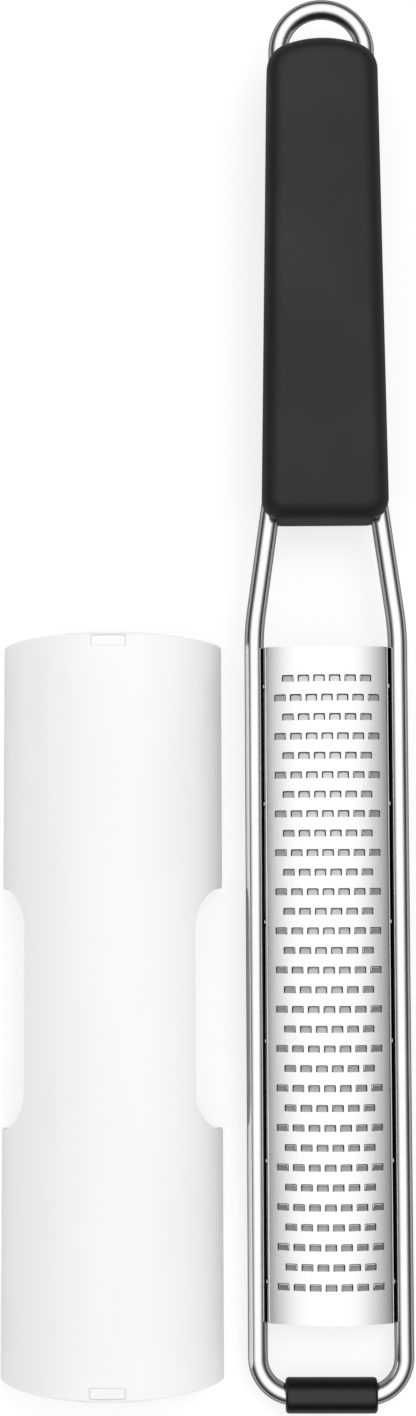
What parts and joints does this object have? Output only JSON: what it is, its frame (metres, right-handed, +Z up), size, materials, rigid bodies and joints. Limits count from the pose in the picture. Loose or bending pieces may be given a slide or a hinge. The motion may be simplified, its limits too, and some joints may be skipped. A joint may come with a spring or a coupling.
{
  "type": "rasp zester",
  "caption": "Rasp zester with an arched etched blade on a bent rod frame, a soft black handle, a rubber foot and a white push-on blade cover set beside it.",
  "frame": {"origin": "on the table under the middle of the foot sleeve", "axes": "+Y along the tool from the foot to the handle and hanging loop, +X to the tool's right seen from above, +Z up, with the teeth facing up"},
  "size_m": [0.095, 0.3297, 0.0218],
  "materials": {
    "rod": "polished stainless",
    "blade": "bright rolled",
    "weld": "as welded",
    "core": "moulded",
    "grip": "satin soft touch",
    "sleeve": "satin",
    "cover": "satin white"
  },
  "bodies": {
    "zester": {"frame_rod": "rod", "blade": "blade", "weld_plugs": "weld", "handle_core_lower": "core", "handle_core_upper": "core", "handle_grip": "grip", "foot_sleeve": "sleeve"},
    "cover": {"blade_cover": "cover"}
  },
  "joints": [
    {"name": "cover_lift", "type": "slide", "parent": "zester", "child": "cover", "axis": [0, 0, 1], "range_m": [0, 0.04]}
  ]
}
